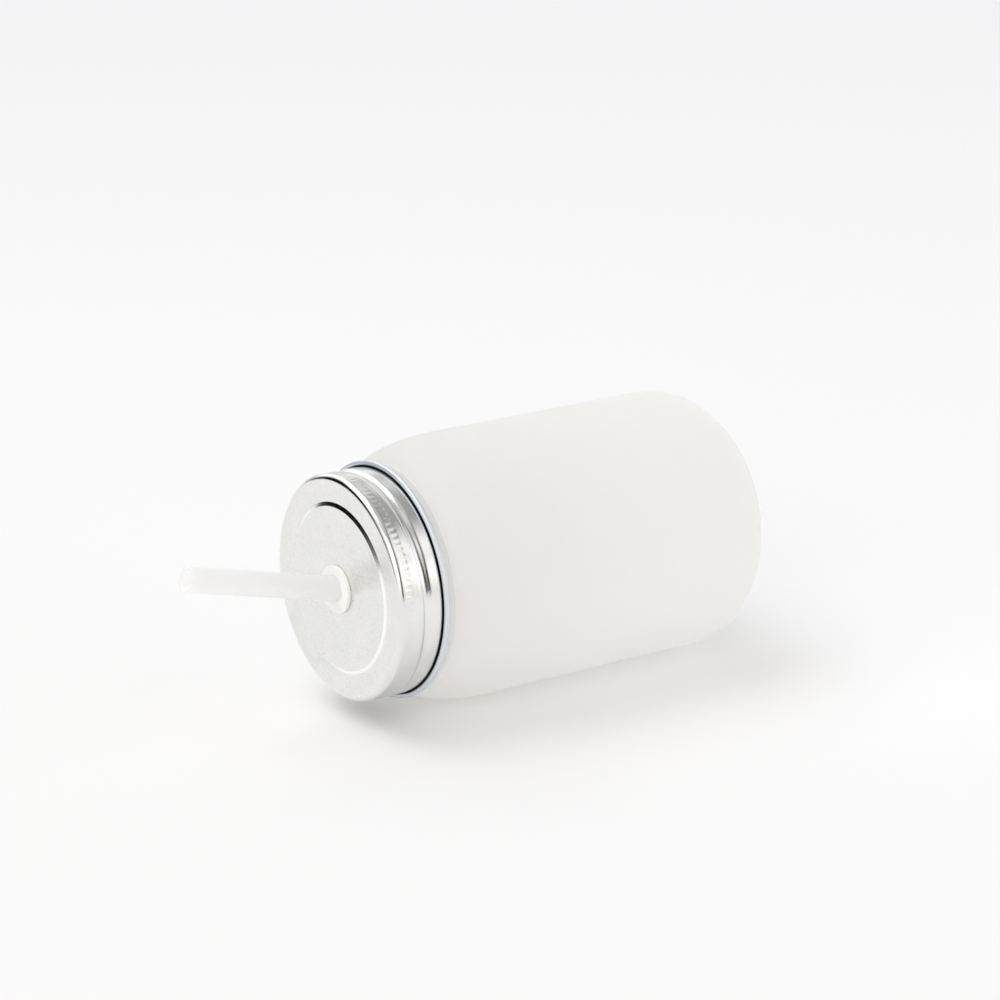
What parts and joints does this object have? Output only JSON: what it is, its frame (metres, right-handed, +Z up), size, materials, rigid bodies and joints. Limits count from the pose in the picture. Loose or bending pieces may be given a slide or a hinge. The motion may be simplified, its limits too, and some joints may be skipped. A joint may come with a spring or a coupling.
{
  "type": "frosted drinking jar with straw lid",
  "caption": "Frosted glass drinking jar with a one-piece tinplate screw lid, a silicone grommet in the lid and a leaning straw that slides and swivels.",
  "frame": {"origin": "centre of the base, on the surface the jar stands on", "axes": "+Z up the jar's axis through the lid; the straw's top leans towards -Y"},
  "size_m": [0.0826, 0.0826, 0.1947],
  "materials": {
    "frosted_glass": "satin etched",
    "sealing_ring": "satin",
    "tinplate": "satin face, bright sides",
    "silicone": "satin",
    "straw_plastic": "satin, slightly translucent"
  },
  "bodies": {
    "jar": {"jar": "frosted_glass"},
    "sealing_ring": {"gasket": "sealing_ring"},
    "lid": {"lid": "tinplate"},
    "grommet": {"grommet": "silicone"},
    "straw": {"straw": "straw_plastic"}
  },
  "joints": [
    {"name": "lid_rise", "type": "slide", "parent": "jar", "child": "sealing_ring", "axis": [0, 0, 1], "range_m": [0, 0.0175]},
    {"name": "lid_turn", "type": "hinge", "parent": "sealing_ring", "child": "lid", "pos_m": [0, 0, 0.1415], "axis": [0, 0, 1], "range_deg": [0, 1260]},
    {"name": "grommet_turn", "type": "hinge", "parent": "lid", "child": "grommet", "pos_m": [0, 0, 0.1414], "axis": [0, 0, 1], "continuous": true},
    {"name": "straw_slide", "type": "slide", "parent": "grommet", "child": "straw", "axis": [0, -0.2419, 0.9703], "range_m": [0, 0.138]}
  ],
  "couplings": [
    {"joint": "lid_rise", "follows": "lid_turn", "m_per_rad": 0.00079577}
  ]
}
